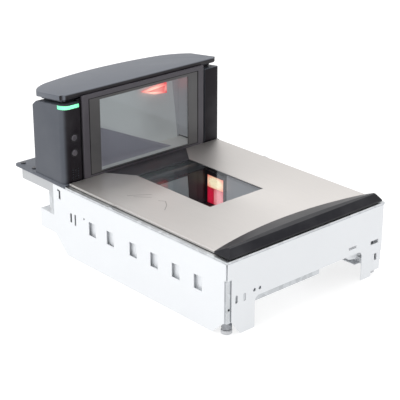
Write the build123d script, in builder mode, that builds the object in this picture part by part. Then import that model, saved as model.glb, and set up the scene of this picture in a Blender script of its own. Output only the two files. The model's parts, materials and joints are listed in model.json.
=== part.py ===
"""In-counter barcode scanner and scale with a flat window and an upright window.

Frame: origin at the bottom centre, +X to the right, +Y to the tower at the back, +Z up.
All sizes are millimetres.
"""

from build123d import *
import math
import os

os.makedirs("parts", exist_ok=True)

# Driving dimensions
WIDTH = 292.0
LENGTH = 457.0
COUNTER = 105.0  # counter level, the top of the rim, above the feet
TOP = 236.5  # front edge of the bonnet, the highest line
BODY_BACK = 133.0  # back face of the lower body
TOWER_FRONT = 103.6
TOWER_BACK = 180.0
SHEET = 1.2
RIM_WIDTH = 9.0
PLATTER_HALF = 139.7
PLATTER_TOP = 109.0
PLATTER_BACK = 102.0
GLASS_HALF = 49.5
GLASS_FRONT = -91.0
GLASS_BACK = 64.0
TRIM_BACK_HALF = 77.0
WINDOW_HALF = 101.0
FRAME_HALF = 112.3
PILLAR_INNER = 116.3
PILLAR_OUTER = 144.5
BONNET_HALF = 143.5
PILLAR_TOP = 223.0  # at the tower's front face
TOP_SLOPE = 0.118  # fall of the tower's top towards the back, mm per mm
BUTTON_X = -127.0
BUTTON_HEIGHTS = (173.3, 151.3)
JACK_X = 134.5
JACK_FRONT_Y = -216.0
JACK_BACK_Y = 76.0

# Worked out from them
HALF_W = WIDTH / 2
FRONT = -LENGTH / 2
BACK = LENGTH / 2
WALL_X = HALF_W - SHEET
RIM_UNDER = COUNTER - SHEET
LIP_UNDER = COUNTER - 3.2
SHEET_TOP = LIP_UNDER - 0.3  # top of the white sheets, under the rim's lip
BASE_UNDER = COUNTER - 3.0
PLATE_BACK = FRONT + SHEET
CAP_FRONT = TOWER_FRONT + 2.3
PAN_TOP = 27.2


def write(part, node):
    """Label one finished piece and write its file."""
    part.label = node
    export_step(part, f"parts/{node}.step")


def block(x, y, z, mode=Mode.ADD):
    """A rectangular solid between three (low, high) pairs."""
    with Locations((sum(x) / 2, sum(y) / 2, sum(z) / 2)):
        Box(x[1] - x[0], y[1] - y[0], z[1] - z[0], mode=mode)


def rod(at, radius, length, axis, mode=Mode.ADD):
    """A round bar of the given length, centred at a point, along X, Y or Z."""
    turn = {"X": (0, 90, 0), "Y": (90, 0, 0), "Z": (0, 0, 0)}[axis]
    with Locations(Location(at, turn)):
        Cylinder(radius, length, mode=mode)


def mirrored(x, side):
    """An X range on the right, taken to the given side."""
    return (x[0], x[1]) if side > 0 else (-x[1], -x[0])


def slope_plane(height, y_ref):
    """The plane of the tower's sloping top, through a height at y_ref."""
    return Plane(origin=(0, y_ref, height), z_dir=(0, TOP_SLOPE, 1))


# ---------------------------------------------------------------- lower enclosure
SLOT_CENTRES = (43.8, 4.2, -45.0, -88.3, -131.6, -174.5)
SLOT_SIZE = (15.5, 20.2)
SLOT_Z = 59.0
NOTCH_TOP = 79.0


def side_plate(side):
    """A folded side sheet with clear slots and an inward foot flange."""
    outline = [
        (-201.8, 0),
        (-222.1, 19),
        (-223.5, 19),
        (-223.5, NOTCH_TOP),
        (-226.3, NOTCH_TOP),
        (-226.3, SHEET_TOP),
        (BODY_BACK, SHEET_TOP),
        (BODY_BACK, 28.5),
        (103.5, 0),
    ]
    with BuildPart() as plate:
        with BuildSketch(Plane.YZ.offset(side * HALF_W)):
            with BuildLine():
                Polyline(*outline, close=True)
            make_face()
            with Locations(*[(y, SLOT_Z) for y in SLOT_CENTRES]):
                Rectangle(*SLOT_SIZE, mode=Mode.SUBTRACT)
            with Locations((92.5, 61.8)):
                Rectangle(4.2, 14, mode=Mode.SUBTRACT)
            with Locations((82.6, 61.2)):
                Rectangle(3.6, 16.5, mode=Mode.SUBTRACT)
            with Locations((62.3, 69.6)):
                Circle(1.6, mode=Mode.SUBTRACT)
            with Locations((120.7, 95)):
                Rectangle(5.6, 2.6, mode=Mode.SUBTRACT)
            with Locations((118, 88.8)):
                Rectangle(4.2, 13.5, mode=Mode.SUBTRACT)
        extrude(amount=-side * SHEET)
        block(mirrored((WALL_X - 10, WALL_X), side), (-190, 60), (0, SHEET))
    return plate.part


write(side_plate(-1), "side_plate_left")
write(side_plate(1), "side_plate_right")

ARCH_LEFT, ARCH_RIGHT, ARCH_TOP = -97.5, 104.5, 44.0
TIE_HOLE_X, TIE_HOLE_GAP, TIE_HOLE_Z, TIE_HOLE_R = -93.75, 9.5, 53.0, 2.5

with BuildPart() as front_plate:
    with BuildSketch(Plane.XZ.offset(-FRONT)):
        with BuildLine():
            Polyline(
                (-144.2, NOTCH_TOP),
                (-144.2, SHEET_TOP),
                (144.2, SHEET_TOP),
                (144.2, 34),
                (124, 34),
                (124, 0),
                (ARCH_RIGHT, 0),
                (ARCH_RIGHT, ARCH_TOP),
                (ARCH_LEFT, ARCH_TOP),
                (ARCH_LEFT, 0),
                (-122.5, 0),
                (-137.5, 20),
                (-137.5, NOTCH_TOP),
                close=True,
            )
        make_face()
        arch_corners = vertices().filter_by(lambda v: abs(v.Y - ARCH_TOP) < 0.1)
        fillet(arch_corners, 8)
        with Locations((-129.5, 49.5), (-115.5, 49)):
            SlotOverall(11, 4.5, rotation=90, mode=Mode.SUBTRACT)
        with Locations((TIE_HOLE_X, TIE_HOLE_Z)):
            with GridLocations(TIE_HOLE_GAP, 1, 2, 1):
                Circle(TIE_HOLE_R, mode=Mode.SUBTRACT)
        with Locations((84.5, 54.7)):
            Rectangle(15, 3.6, mode=Mode.SUBTRACT)
        with Locations((129, 50.3)):
            Rectangle(15.5, 5.6, mode=Mode.SUBTRACT)
    extrude(amount=-SHEET)
    block((-86, 93), (PLATE_BACK, PLATE_BACK + 9), (ARCH_TOP, ARCH_TOP + SHEET))
    with BuildSketch(Plane.XZ.offset(-PLATE_BACK - 7.8)):
        with BuildLine():
            Polyline((72, ARCH_TOP), (93, ARCH_TOP), (104, 40), (104, 30), (88, 33), close=True)
        make_face()
    extrude(amount=-SHEET)
write(front_plate.part, "front_plate")

with BuildPart() as rim_frame:
    block((-HALF_W, HALF_W), (FRONT, 103.3), (RIM_UNDER, COUNTER))
    block(
        (-HALF_W + RIM_WIDTH, HALF_W - RIM_WIDTH),
        (FRONT + RIM_WIDTH, 93),
        (RIM_UNDER, COUNTER),
        Mode.SUBTRACT,
    )
    for side in (-1, 1):
        block(mirrored((143.2, HALF_W), side), (-2, 6), (COUNTER, COUNTER + 1.2))
        block(mirrored((HALF_W - 0.6, HALF_W), side), (FRONT, 103.3), (LIP_UNDER, RIM_UNDER))
    block((-HALF_W, HALF_W), (FRONT, FRONT + 0.6), (LIP_UNDER, RIM_UNDER))
write(rim_frame.part, "rim_frame")

with BuildPart() as rear_wall:
    with BuildSketch(Plane.YZ.offset(-WALL_X)):
        with BuildLine():
            Polyline(
                (BODY_BACK, BASE_UNDER),
                (BODY_BACK, 28.5),
                (103.5, 0),
                (90, 0),
                (90, SHEET),
                (103.0, SHEET),
                (BODY_BACK - SHEET, 29.0),
                (BODY_BACK - SHEET, BASE_UNDER),
                close=True,
            )
        make_face()
    extrude(amount=2 * WALL_X)
    block((-104, -64), (BODY_BACK - 5, BODY_BACK + 5), (33, 45), Mode.SUBTRACT)
write(rear_wall.part, "rear_wall")

INNER_WALL_TOP = 74.0
with BuildPart() as bottom_pan:
    block((-WALL_X, WALL_X), (-150, 126), (PAN_TOP - SHEET, PAN_TOP))
    for side in (-1, 1):
        block(mirrored((139, 139 + SHEET), side), (-148, 64), (PAN_TOP, INNER_WALL_TOP))
        block(mirrored((139, 139 + SHEET), side), (-190, -148), (PAN_TOP + 8, INNER_WALL_TOP))
        rod((side * JACK_X, JACK_BACK_Y, PAN_TOP), 5.5, 6, "Z", Mode.SUBTRACT)
write(bottom_pan.part, "bottom_pan")

# ---------------------------------------------------------------- weighing parts
CELL_Y = (-180.0, -155.0)
CELL_Z = (61.0, 83.0)
CELL_HALF = 75.0
DECK_Z = (86.5, 92.5)
PAD_POINTS = ((-112, -200), (112, -200), (-112, 84), (112, 84))
PAD_Z = (101.5, PLATTER_TOP - SHEET)

with BuildPart() as load_cell_mount:
    block((-120, 36), (-214, -140), (PAN_TOP, PAN_TOP + 2))
    block((-120, 36), (-214, -212), (PAN_TOP + 2, 58))
    block((-120, 36), (-142, -140), (PAN_TOP + 2, 45))
    block((-104, -84), (PLATE_BACK + 2, -214), (56, 58))
    block((-104, -84), (PLATE_BACK, PLATE_BACK + 2), (46.5, 58))
    block((-CELL_HALF, -45), CELL_Y, (PAN_TOP + 2, CELL_Z[0]))
    with Locations(Location((TIE_HOLE_X, PLATE_BACK + 1, TIE_HOLE_Z), (90, 0, 0))):
        with GridLocations(TIE_HOLE_GAP, 1, 2, 1):
            Cylinder(TIE_HOLE_R, 4, mode=Mode.SUBTRACT)
write(load_cell_mount.part, "load_cell_mount")

with BuildPart() as load_cell:
    block((-CELL_HALF, CELL_HALF), CELL_Y, CELL_Z)
    middle = (sum(CELL_Y) / 2, sum(CELL_Z) / 2)
    for x in (-13, 13):
        rod((x, middle[0], middle[1]), 7.5, 40, "Y", Mode.SUBTRACT)
    block((-13, 13), (-190, -145), (middle[1] - 3, middle[1] + 3), Mode.SUBTRACT)
write(load_cell.part, "load_cell")

with BuildPart() as scale_deck:
    block((-124, 124), (-210, 94), DECK_Z)
    block((-100, 100), (-118, 78), DECK_Z, Mode.SUBTRACT)
    block((45, CELL_HALF), CELL_Y, (CELL_Z[1], DECK_Z[0]))
    for x, y in PAD_POINTS:
        rod((x, y, (DECK_Z[1] + PAD_Z[0]) / 2), 8, PAD_Z[0] - DECK_Z[1], "Z")
    for x in (-60, 0, 60):
        block((x - 2, x + 2), (-208, -120), (DECK_Z[1], DECK_Z[1] + 4))
write(scale_deck.part, "scale_deck")

with BuildPart() as platter_pads:
    for x, y in PAD_POINTS:
        rod((x, y, sum(PAD_Z) / 2), 6.5, PAD_Z[1] - PAD_Z[0], "Z")
write(platter_pads.part, "platter_pads")

# ---------------------------------------------------------------- levelling jacks
FOOT_HEIGHT = 5.5
HEX_Z = (6.5, 17.5)
TAB_Z = (19.0, 21.0)
STUD_R = 4.0
RUNNING_GAP = 0.05
JACKS = {
    "front_left": (-1, JACK_FRONT_Y),
    "front_right": (1, JACK_FRONT_Y),
    "rear_left": (-1, JACK_BACK_Y),
    "rear_right": (1, JACK_BACK_Y),
}


def jack_bracket(side, y, front):
    """An angle bracket with the threaded tab that a levelling stud turns in."""
    with BuildPart() as bracket:
        if front:
            block(mirrored((WALL_X - 1.5, WALL_X), side), (PLATE_BACK + 0.6, y + 14), (TAB_Z[0], 98))
            face_low = 6 if side > 0 else TAB_Z[0]
            block(mirrored((125, WALL_X - 1.5), side), (PLATE_BACK + 0.6, PLATE_BACK + 2.1), (face_low, 98))
            block(mirrored((125, WALL_X - 1.5), side), (PLATE_BACK + 2.1, y + 14), TAB_Z)
            rod((side * 141, PLATE_BACK + 1, 38), 1.8, 8, "Y", Mode.SUBTRACT)
            if side > 0:
                block((132, 137), (PLATE_BACK, PLATE_BACK + 4), (21, 31), Mode.SUBTRACT)
                block((120, 137.5), (PLATE_BACK, PLATE_BACK + 4), (46.5, 54), Mode.SUBTRACT)
        else:
            block(mirrored((WALL_X - 2.7, WALL_X - 1.2), side), (y - 14, y + 14), (TAB_Z[0], 24))
            block(mirrored((125, WALL_X - 2.7), side), (y - 14, y + 14), TAB_Z)
            block(mirrored((WALL_X - 1.2, WALL_X), side), (y - 14, y + 14), (TAB_Z[0], 24))
        rod((side * JACK_X, y, sum(TAB_Z) / 2), STUD_R + RUNNING_GAP, 6, "Z", Mode.SUBTRACT)
    return bracket.part


def jack_screw(side, y):
    """A levelling stud with its hexagon and the journal that sits in the foot."""
    with BuildPart() as screw:
        rod((side * JACK_X, y, (HEX_Z[1] + 46) / 2), STUD_R, 46 - HEX_Z[1], "Z")
        with BuildSketch(Plane.XY.offset(HEX_Z[0])):
            with Locations((side * JACK_X, y)):
                RegularPolygon(7.3, 6)
        extrude(amount=HEX_Z[1] - HEX_Z[0])
        rod((side * JACK_X, y, (HEX_Z[0] + 2.4) / 2), 3.0, HEX_Z[0] - 2.4, "Z")
        chamfer(screw.faces().sort_by(Axis.Z)[-1].edges(), 1)
    return screw.part


def jack_foot(side, y):
    """A round foot with a blind bore for the stud's journal."""
    with BuildPart() as foot:
        rod((side * JACK_X, y, FOOT_HEIGHT / 2), 7.4, FOOT_HEIGHT, "Z")
        chamfer(foot.edges().filter_by(GeomType.CIRCLE), 0.8)
        rod((side * JACK_X, y, 2 + FOOT_HEIGHT / 2), 3.0 + RUNNING_GAP, FOOT_HEIGHT, "Z", Mode.SUBTRACT)
    return foot.part


for corner, (side, y) in JACKS.items():
    write(jack_bracket(side, y, y < 0), f"jack_bracket_{corner}")
    write(jack_screw(side, y), f"jack_screw_{corner}")
    write(jack_foot(side, y), f"jack_foot_{corner}")

# ---------------------------------------------------------------- rear parts
TRAY_UNDER = 87.3
TRAY_BACK = 214.0
BOX_X = (-144.0, -40.0)
BOX_Y = (BODY_BACK, 169.0)
BOX_Z = (25.0, 53.0)
SOCKET_Z = (31.6, 46.6)
SOCKET_Y = (150.0, 167.5)
POWER_X = -127.0
DATA_X = (-103.0, -79.0, -55.0)

with BuildPart() as rear_tray:
    block((-WALL_X, WALL_X), (BODY_BACK, TRAY_BACK), (TRAY_UNDER, BASE_UNDER))
    fillet(rear_tray.edges().filter_by(Axis.Z).group_by(Axis.Y)[-1], 5)
    block(
        (-WALL_X + SHEET, WALL_X - SHEET),
        (BODY_BACK + SHEET, TRAY_BACK - SHEET - 2),
        (TRAY_UNDER + SHEET, BASE_UNDER),
        Mode.SUBTRACT,
    )
write(rear_tray.part, "rear_tray")

with BuildPart() as cable_duct:
    block((-WALL_X, -112), (BODY_BACK, 145), (BOX_Z[1], TRAY_UNDER))
    block((-WALL_X + SHEET, -112 - SHEET), (BODY_BACK, 145 - SHEET), (BOX_Z[1], TRAY_UNDER), Mode.SUBTRACT)
write(cable_duct.part, "cable_duct")

with BuildPart() as connector_box:
    block(BOX_X, BOX_Y, BOX_Z)
    block(
        (BOX_X[0] + SHEET, BOX_X[1] - SHEET),
        BOX_Y,
        (BOX_Z[0] + SHEET, BOX_Z[1] - SHEET),
        Mode.SUBTRACT,
    )
write(connector_box.part, "connector_box")

with BuildPart() as socket_panel:
    block(
        (BOX_X[0] + SHEET, BOX_X[1] - SHEET),
        (165, 165 + SHEET),
        (BOX_Z[0] + SHEET, BOX_Z[1] - SHEET),
    )
    for x in (POWER_X, *DATA_X):
        block((x - 9, x + 9), SOCKET_Y, SOCKET_Z, Mode.SUBTRACT)
write(socket_panel.part, "socket_panel")

with BuildPart() as power_socket:
    block((POWER_X - 9, POWER_X + 9), SOCKET_Y, SOCKET_Z)
    block((POWER_X - 6.5, POWER_X + 6.5), (153, SOCKET_Y[1]), (34.6, 43.6), Mode.SUBTRACT)
    for x in (-3.5, 0, 3.5):
        rod((POWER_X + x, 155.5, 39.1), 0.8, 5, "Y")
write(power_socket.part, "power_socket")

with BuildPart() as data_sockets:
    for x in DATA_X:
        block((x - 9, x + 9), SOCKET_Y, SOCKET_Z)
        block((x - 6.2, x + 6.2), (153, SOCKET_Y[1]), (34.2, 41.8), Mode.SUBTRACT)
        block((x - 3, x + 3), (153, SOCKET_Y[1]), (41.8, 44.6), Mode.SUBTRACT)
write(data_sockets.part, "data_sockets")

with BuildPart() as socket_board:
    block((-141, -43), (134.5, 163.5), (30, SOCKET_Z[0]))
    block((-110, -60), (138, 148), (SOCKET_Z[0], 36))
write(socket_board.part, "socket_board")

# ---------------------------------------------------------------- tower
LEDGE_TOP = COUNTER + 1.5
WALL = 2.5
LIGHT_Z = (216.0, 221.3)
LIGHT_DEPTH = 4.0
CORNER_R = 12.0
PLAIN_CORNER_R = 5.0
GRILLE_Z = 120.0
GRILLE_PITCH = 3.3

with BuildPart() as tower_base:
    block((-HALF_W, HALF_W), (103.6, BACK), (BASE_UNDER, COUNTER))
    fillet(tower_base.edges().filter_by(Axis.Z).group_by(Axis.Y)[-1], 6)
    for side in (-1, 1):
        block(mirrored((PILLAR_INNER - 0.4, HALF_W - 0.6), side), (103.2, 183), (COUNTER, LEDGE_TOP))
    block((-100, 100), (112, 176), (BASE_UNDER, COUNTER), Mode.SUBTRACT)
write(tower_base.part, "tower_base")


def light_bar_plan():
    """The plan of the strip that wraps the left pillar's outer front corner."""
    x0, y0 = -PILLAR_OUTER, TOWER_FRONT
    inner = CORNER_R - LIGHT_DEPTH
    with BuildSketch() as plan:
        with BuildLine():
            Line((x0, y0 + 13), (x0, y0 + CORNER_R))
            ThreePointArc(
                (x0, y0 + CORNER_R),
                (x0 + CORNER_R * (1 - math.sqrt(0.5)), y0 + CORNER_R * (1 - math.sqrt(0.5))),
                (x0 + CORNER_R, y0),
            )
            Line((x0 + CORNER_R, y0), (-PILLAR_INNER - 0.8, y0))
            Line((-PILLAR_INNER - 0.8, y0), (-PILLAR_INNER - 0.8, y0 + LIGHT_DEPTH))
            Line((-PILLAR_INNER - 0.8, y0 + LIGHT_DEPTH), (x0 + CORNER_R, y0 + LIGHT_DEPTH))
            ThreePointArc(
                (x0 + CORNER_R, y0 + LIGHT_DEPTH),
                (x0 + CORNER_R - inner * math.sqrt(0.5), y0 + CORNER_R - inner * math.sqrt(0.5)),
                (x0 + LIGHT_DEPTH, y0 + CORNER_R),
            )
            Line((x0 + LIGHT_DEPTH, y0 + CORNER_R), (x0 + LIGHT_DEPTH, y0 + 13))
            Line((x0 + LIGHT_DEPTH, y0 + 13), (x0, y0 + 13))
        make_face()
    return plan.sketch


def pillar(side):
    """One hollow tower end, open towards the middle of the tower."""
    low, high = sorted((side * PILLAR_INNER, side * PILLAR_OUTER))
    corner = CORNER_R if side < 0 else PLAIN_CORNER_R
    with BuildPart() as shell:
        with BuildSketch(Plane.YZ.offset(low)):
            with BuildLine():
                Polyline(
                    (TOWER_FRONT, LEDGE_TOP),
                    (TOWER_BACK, LEDGE_TOP),
                    (TOWER_BACK, 205),
                    (TOWER_BACK - 13, PILLAR_TOP - TOP_SLOPE * 63),
                    (TOWER_FRONT, PILLAR_TOP),
                    close=True,
                )
            make_face()
        extrude(amount=high - low)
        outer = shell.edges().filter_by(Axis.Z).group_by(Axis.X)[-1 if side > 0 else 0]
        fillet(outer.sort_by(Axis.Y)[0], corner)
        outer = shell.edges().filter_by(Axis.Z).filter_by(
            lambda e: abs(e.center().X - side * PILLAR_OUTER) < 0.1 and e.center().Y > 170
        )
        fillet(outer, 6)
        with BuildSketch(Plane.XY.offset(LEDGE_TOP + WALL)):
            middle = (side * (PILLAR_OUTER - WALL + PILLAR_INNER) / 2, (TOWER_FRONT + TOWER_BACK) / 2)
            with Locations(middle):
                Rectangle(PILLAR_OUTER - WALL - PILLAR_INNER, TOWER_BACK - TOWER_FRONT - 2 * WALL)
            outer_corners = vertices().filter_by(lambda v: abs(v.X) > PILLAR_OUTER - WALL - 0.1)
            front_corner, back_corner = outer_corners.sort_by(Axis.Y)
            fillet(front_corner, corner - WALL)
            fillet(back_corner, 3.5)
        extrude(amount=90, mode=Mode.SUBTRACT)
        if side < 0:
            extrude(
                light_bar_plan().moved(Location((0, 0, LIGHT_Z[0]))),
                amount=LIGHT_Z[1] - LIGHT_Z[0],
                dir=(0, 0, 1),
                mode=Mode.SUBTRACT,
            )
            for z in BUTTON_HEIGHTS:
                rod((BUTTON_X, TOWER_FRONT + 1, z), 4.75, 6, "Y", Mode.SUBTRACT)
            with Locations(Location((BUTTON_X, TOWER_FRONT + 1, GRILLE_Z), (90, 0, 0))):
                with GridLocations(GRILLE_PITCH * 1.4, GRILLE_PITCH, 3, 5):
                    Cylinder(1.1, 6, mode=Mode.SUBTRACT)
    return shell.part


write(pillar(-1), "pillar_left")
write(pillar(1), "pillar_right")

with BuildPart() as light_bar:
    extrude(
        light_bar_plan().moved(Location((0, 0, LIGHT_Z[0]))),
        amount=LIGHT_Z[1] - LIGHT_Z[0],
        dir=(0, 0, 1),
    )
write(light_bar.part, "light_bar")


def button(z):
    """A push button with the collar that keeps it behind the pillar's wall."""
    with BuildPart() as cap:
        rod((BUTTON_X, TOWER_FRONT + 1.1, z), 4.5, 4.0, "Y")
        fillet(cap.faces().sort_by(Axis.Y)[0].edges(), 0.8)
        rod((BUTTON_X, TOWER_FRONT + 3.6, z), 5.6, 1.2, "Y")
    return cap.part


write(button(BUTTON_HEIGHTS[0]), "upper_button")
write(button(BUTTON_HEIGHTS[1]), "lower_button")

with BuildPart() as button_board:
    block((BUTTON_X - 10.5, BUTTON_X + 9.5), (113, 114.6), (138, 196))
    for z in BUTTON_HEIGHTS:
        block((BUTTON_X - 3, BUTTON_X + 3), (109.6, 113), (z - 3, z + 3))
    block((BUTTON_X - 6, BUTTON_X + 6), (111, 113), (188, 194))
write(button_board.part, "button_board")

with BuildPart() as speaker:
    rod((BUTTON_X, TOWER_FRONT + WALL + 4.5, GRILLE_Z), 8, 5, "Y")
    rod((BUTTON_X, TOWER_FRONT + WALL + 9.5, GRILLE_Z), 5, 5, "Y")
write(speaker.part, "speaker")


def tower_wall_plan(grow):
    """The tower's plan between the pillars, with a bowed back, grown outwards."""
    half = PILLAR_INNER - 3 + grow
    with BuildSketch() as plan:
        with BuildLine():
            Line((-half, 113), (-half, 181))
            ThreePointArc((-half, 181), (0, 204.5 + grow), (half, 181))
            Line((half, 181), (half, 113))
            Line((half, 113), (-half, 113))
        make_face()
    return plan.sketch


with BuildPart() as tower_back_cover:
    extrude(tower_wall_plan(WALL).moved(Location((0, 0, COUNTER))), amount=130, dir=(0, 0, 1))
    extrude(
        tower_wall_plan(0).moved(Location((0, -5, COUNTER))),
        amount=130,
        dir=(0, 0, 1),
        mode=Mode.SUBTRACT,
    )
    extrude(
        tower_wall_plan(0).moved(Location((0, 0, COUNTER))),
        amount=130,
        dir=(0, 0, 1),
        mode=Mode.SUBTRACT,
    )
    split(bisect_by=slope_plane(PILLAR_TOP + 2.5, TOWER_FRONT), keep=Keep.BOTTOM)
write(tower_back_cover.part, "tower_back_cover")


def bonnet_plan(inset):
    """The bonnet's plan: straight front, rounded front corners, bowed back."""
    half, front, shoulder = BONNET_HALF, CAP_FRONT, 0.7 * BONNET_HALF
    with BuildSketch() as plan:
        with BuildLine():
            Line((-half + 6, front), (half - 6, front))
            RadiusArc((half - 6, front), (half, front + 6), 6)
            Line((half, front + 6), (half, 166))
            end = TangentArc((shoulder, 201.5), (half, 166), tangent=(0.959, -0.283))
            ThreePointArc((shoulder, 201.5), (0, 215.5), (-shoulder, 201.5))
            mirror(end, about=Plane.YZ)
            Line((-half, 166), (-half, front + 6))
            RadiusArc((-half + 6, front), (-half, front + 6), -6)
        make_face()
        if inset:
            offset(amount=-inset, kind=Kind.INTERSECTION)
    return plan.sketch


LIP = 7.2
SKIRT_INSET = 7.0
with BuildPart() as bonnet_core:
    extrude(bonnet_plan(SKIRT_INSET + WALL).moved(Location((0, 0, 190))), amount=60, dir=(0, 0, 1))
    split(bisect_by=slope_plane(TOP - WALL, CAP_FRONT), keep=Keep.BOTTOM)

with BuildPart() as bonnet_skirt:
    extrude(bonnet_plan(SKIRT_INSET).moved(Location((0, 0, 190))), amount=60, dir=(0, 0, 1))
    split(bisect_by=slope_plane(PILLAR_TOP + 2.5, TOWER_FRONT), keep=Keep.TOP)
    split(bisect_by=slope_plane(TOP - LIP + 1, CAP_FRONT), keep=Keep.BOTTOM)

with BuildPart() as bonnet:
    extrude(bonnet_plan(0).moved(Location((0, 0, 190))), amount=60, dir=(0, 0, 1))
    split(bisect_by=slope_plane(TOP, CAP_FRONT), keep=Keep.BOTTOM)
    split(bisect_by=slope_plane(TOP - LIP, CAP_FRONT), keep=Keep.TOP)
    fillet(bonnet.faces().sort_by(Axis.Z)[-1].edges(), 2.4)
    add(bonnet_skirt.part)
    add(bonnet_core.part, mode=Mode.SUBTRACT)
write(bonnet.part, "bonnet")

with BuildPart() as window_bezel:
    block((-FRAME_HALF, FRAME_HALF), (108.8, 111.3), (COUNTER, 222.5))
    block((-88, 88), (108, 112), (110.5, 219.5), Mode.SUBTRACT)
write(window_bezel.part, "window_bezel")

# ---------------------------------------------------------------- tower optics
with BuildPart() as tower_rear_mirror:
    with BuildSketch(Plane.YZ.offset(-103)):
        with BuildLine():
            Polyline((152, 108), (154.5, 108), (168.5, 214), (166, 214), close=True)
        make_face()
    extrude(amount=206)
write(tower_rear_mirror.part, "tower_rear_mirror")


def side_mirror(side):
    """A flat mirror inside one end of the tower, turned towards the window."""
    with BuildPart() as mirror_plate:
        with BuildSketch(Plane.XY.offset(112)):
            with BuildLine():
                Polyline(
                    (side * 105.5, 114),
                    (side * 107, 114),
                    (side * 105, 150),
                    (side * 103.5, 150),
                    close=True,
                )
            make_face()
        extrude(amount=98)
    return mirror_plate.part


write(side_mirror(-1), "tower_side_mirror_left")
write(side_mirror(1), "tower_side_mirror_right")

with BuildPart() as tower_camera:
    block((-24, 24), (176, 177.6), (112, 150))
    block((-9, 9), (170, 176), (122, 140))
write(tower_camera.part, "tower_camera")

with BuildPart() as tower_lens:
    rod((0, 172 - 5, 131), 6, 6, "Y")
    rod((0, 172 - 9, 131), 4.5, 2, "Y")
write(tower_lens.part, "tower_lens")

with BuildPart() as tower_light_module:
    with BuildSketch(Plane.XZ.offset(-156)):
        with BuildLine():
            Polyline((40, 190.5), (86, 197), (86, 181), (62, 183), close=True)
        make_face()
    extrude(amount=-5.4)
    with BuildSketch(Plane.XZ.offset(-154)):
        with BuildLine():
            Polyline((46, 190.5), (81, 193.5), (79, 184.5), close=True)
        make_face()
    extrude(amount=-2)
write(tower_light_module.part, "tower_light_module")

# ---------------------------------------------------------------- lower optics
TUB_X = (-95.0, 95.0)
TUB_Y = (-115.0, 70.0)
TUB_TOP = 84.0
with BuildPart() as optics_tub:
    block(TUB_X, TUB_Y, (PAN_TOP, TUB_TOP))
    block(
        (TUB_X[0] + WALL, TUB_X[1] - WALL),
        (TUB_Y[0] + WALL, TUB_Y[1] - WALL),
        (PAN_TOP + WALL, TUB_TOP),
        Mode.SUBTRACT,
    )
write(optics_tub.part, "optics_tub")


def slanted_mirror(x, low, high):
    """A flat mirror across the tub, from one (y, z) edge to the other."""
    with BuildPart() as mirror_plate:
        with BuildSketch(Plane.YZ.offset(x[0])):
            with BuildLine():
                Polyline(low, high, (high[0] - 2.0, high[1]), (low[0] - 2.0, low[1]), close=True)
            make_face()
        extrude(amount=x[1] - x[0])
    return mirror_plate.part


write(slanted_mirror((-74, 47), (62, 31), (66.5, 82)), "lower_mirror_back")
write(slanted_mirror((-60, 60), (-88, 31), (-110, 80)), "lower_mirror_front")

with BuildPart() as lower_camera:
    block((-26, 26), (-30, 20), (PAN_TOP + WALL + 3, PAN_TOP + WALL + 4.6))
    block((-10, 10), (-15, 5), (PAN_TOP + WALL + 4.6, 42))
    for x in (-22, 22):
        rod((x, -5, PAN_TOP + WALL + 1.5), 2.5, 3, "Z")
write(lower_camera.part, "lower_camera")

with BuildPart() as lower_lens:
    rod((0, -5, 45), 6.5, 6, "Z")
    rod((0, -5, 49), 5, 2, "Z")
write(lower_lens.part, "lower_lens")

LAMP_BACK_X = 92.2
with BuildPart() as lower_light_modules:
    for side in (-1, 1):
        block(mirrored((87, LAMP_BACK_X), side), (28, 67), (PAN_TOP + WALL, 57))
        block(mirrored((89.5, LAMP_BACK_X), side), (34, 67), (57, 82))
        block(mirrored((86.5, 89.5), side), (34, 65), (59, 81))
write(lower_light_modules.part, "lower_light_modules")

with BuildPart() as main_board:
    block((-92, 92), (78, 120), (40, 41.6))
    block((-60, -30), (86, 112), (41.6, 46))
    block((10, 44), (84, 114), (41.6, 50))
    block((60, 84), (88, 108), (41.6, 54))
    for x in (-86, 86):
        for y in (84, 114):
            rod((x, y, (PAN_TOP + 40) / 2), 3, 40 - PAN_TOP, "Z")
write(main_board.part, "main_board")

with BuildPart() as base_screws:
    for x in (-136, 136):
        for y in (192, 220):
            rod((x, y, COUNTER + 0.9), 3.4, 1.8, "Z")
            rod((x, y, COUNTER + 1.8), 1.4, 0.6, "Z", Mode.SUBTRACT)
write(base_screws.part, "base_screws")

# ---------------------------------------------------------------- platter assembly
FLANGE_UNDER = 105.9
with BuildPart() as platter:
    block((-PLATTER_HALF, PLATTER_HALF), (-222.5, PLATTER_BACK), (FLANGE_UNDER, PLATTER_TOP))
    fillet(platter.edges().filter_by(Axis.Z).group_by(Axis.Y)[0], 4)
    fillet(platter.faces().sort_by(Axis.Z)[-1].edges(), 0.9)
    block(
        (-PLATTER_HALF + SHEET, PLATTER_HALF - SHEET),
        (-222.5 + SHEET + 2, PLATTER_BACK - SHEET),
        (FLANGE_UNDER, PLATTER_TOP - SHEET),
        Mode.SUBTRACT,
    )
    block((-GLASS_HALF, GLASS_HALF), (GLASS_FRONT, GLASS_BACK), (100, 115), Mode.SUBTRACT)
    with BuildSketch(Plane.XY.offset(100)):
        with BuildLine():
            Polyline(
                (-GLASS_HALF, GLASS_BACK),
                (GLASS_HALF, GLASS_BACK),
                (TRIM_BACK_HALF, PLATTER_BACK),
                (-TRIM_BACK_HALF, PLATTER_BACK),
                close=True,
            )
        make_face()
    extrude(amount=15, mode=Mode.SUBTRACT)
write(platter.part, "platter")

with BuildPart() as flat_glass:
    block((-GLASS_HALF, GLASS_HALF), (GLASS_FRONT, GLASS_BACK), (FLANGE_UNDER, PLATTER_TOP))
write(flat_glass.part, "flat_glass")

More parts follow.
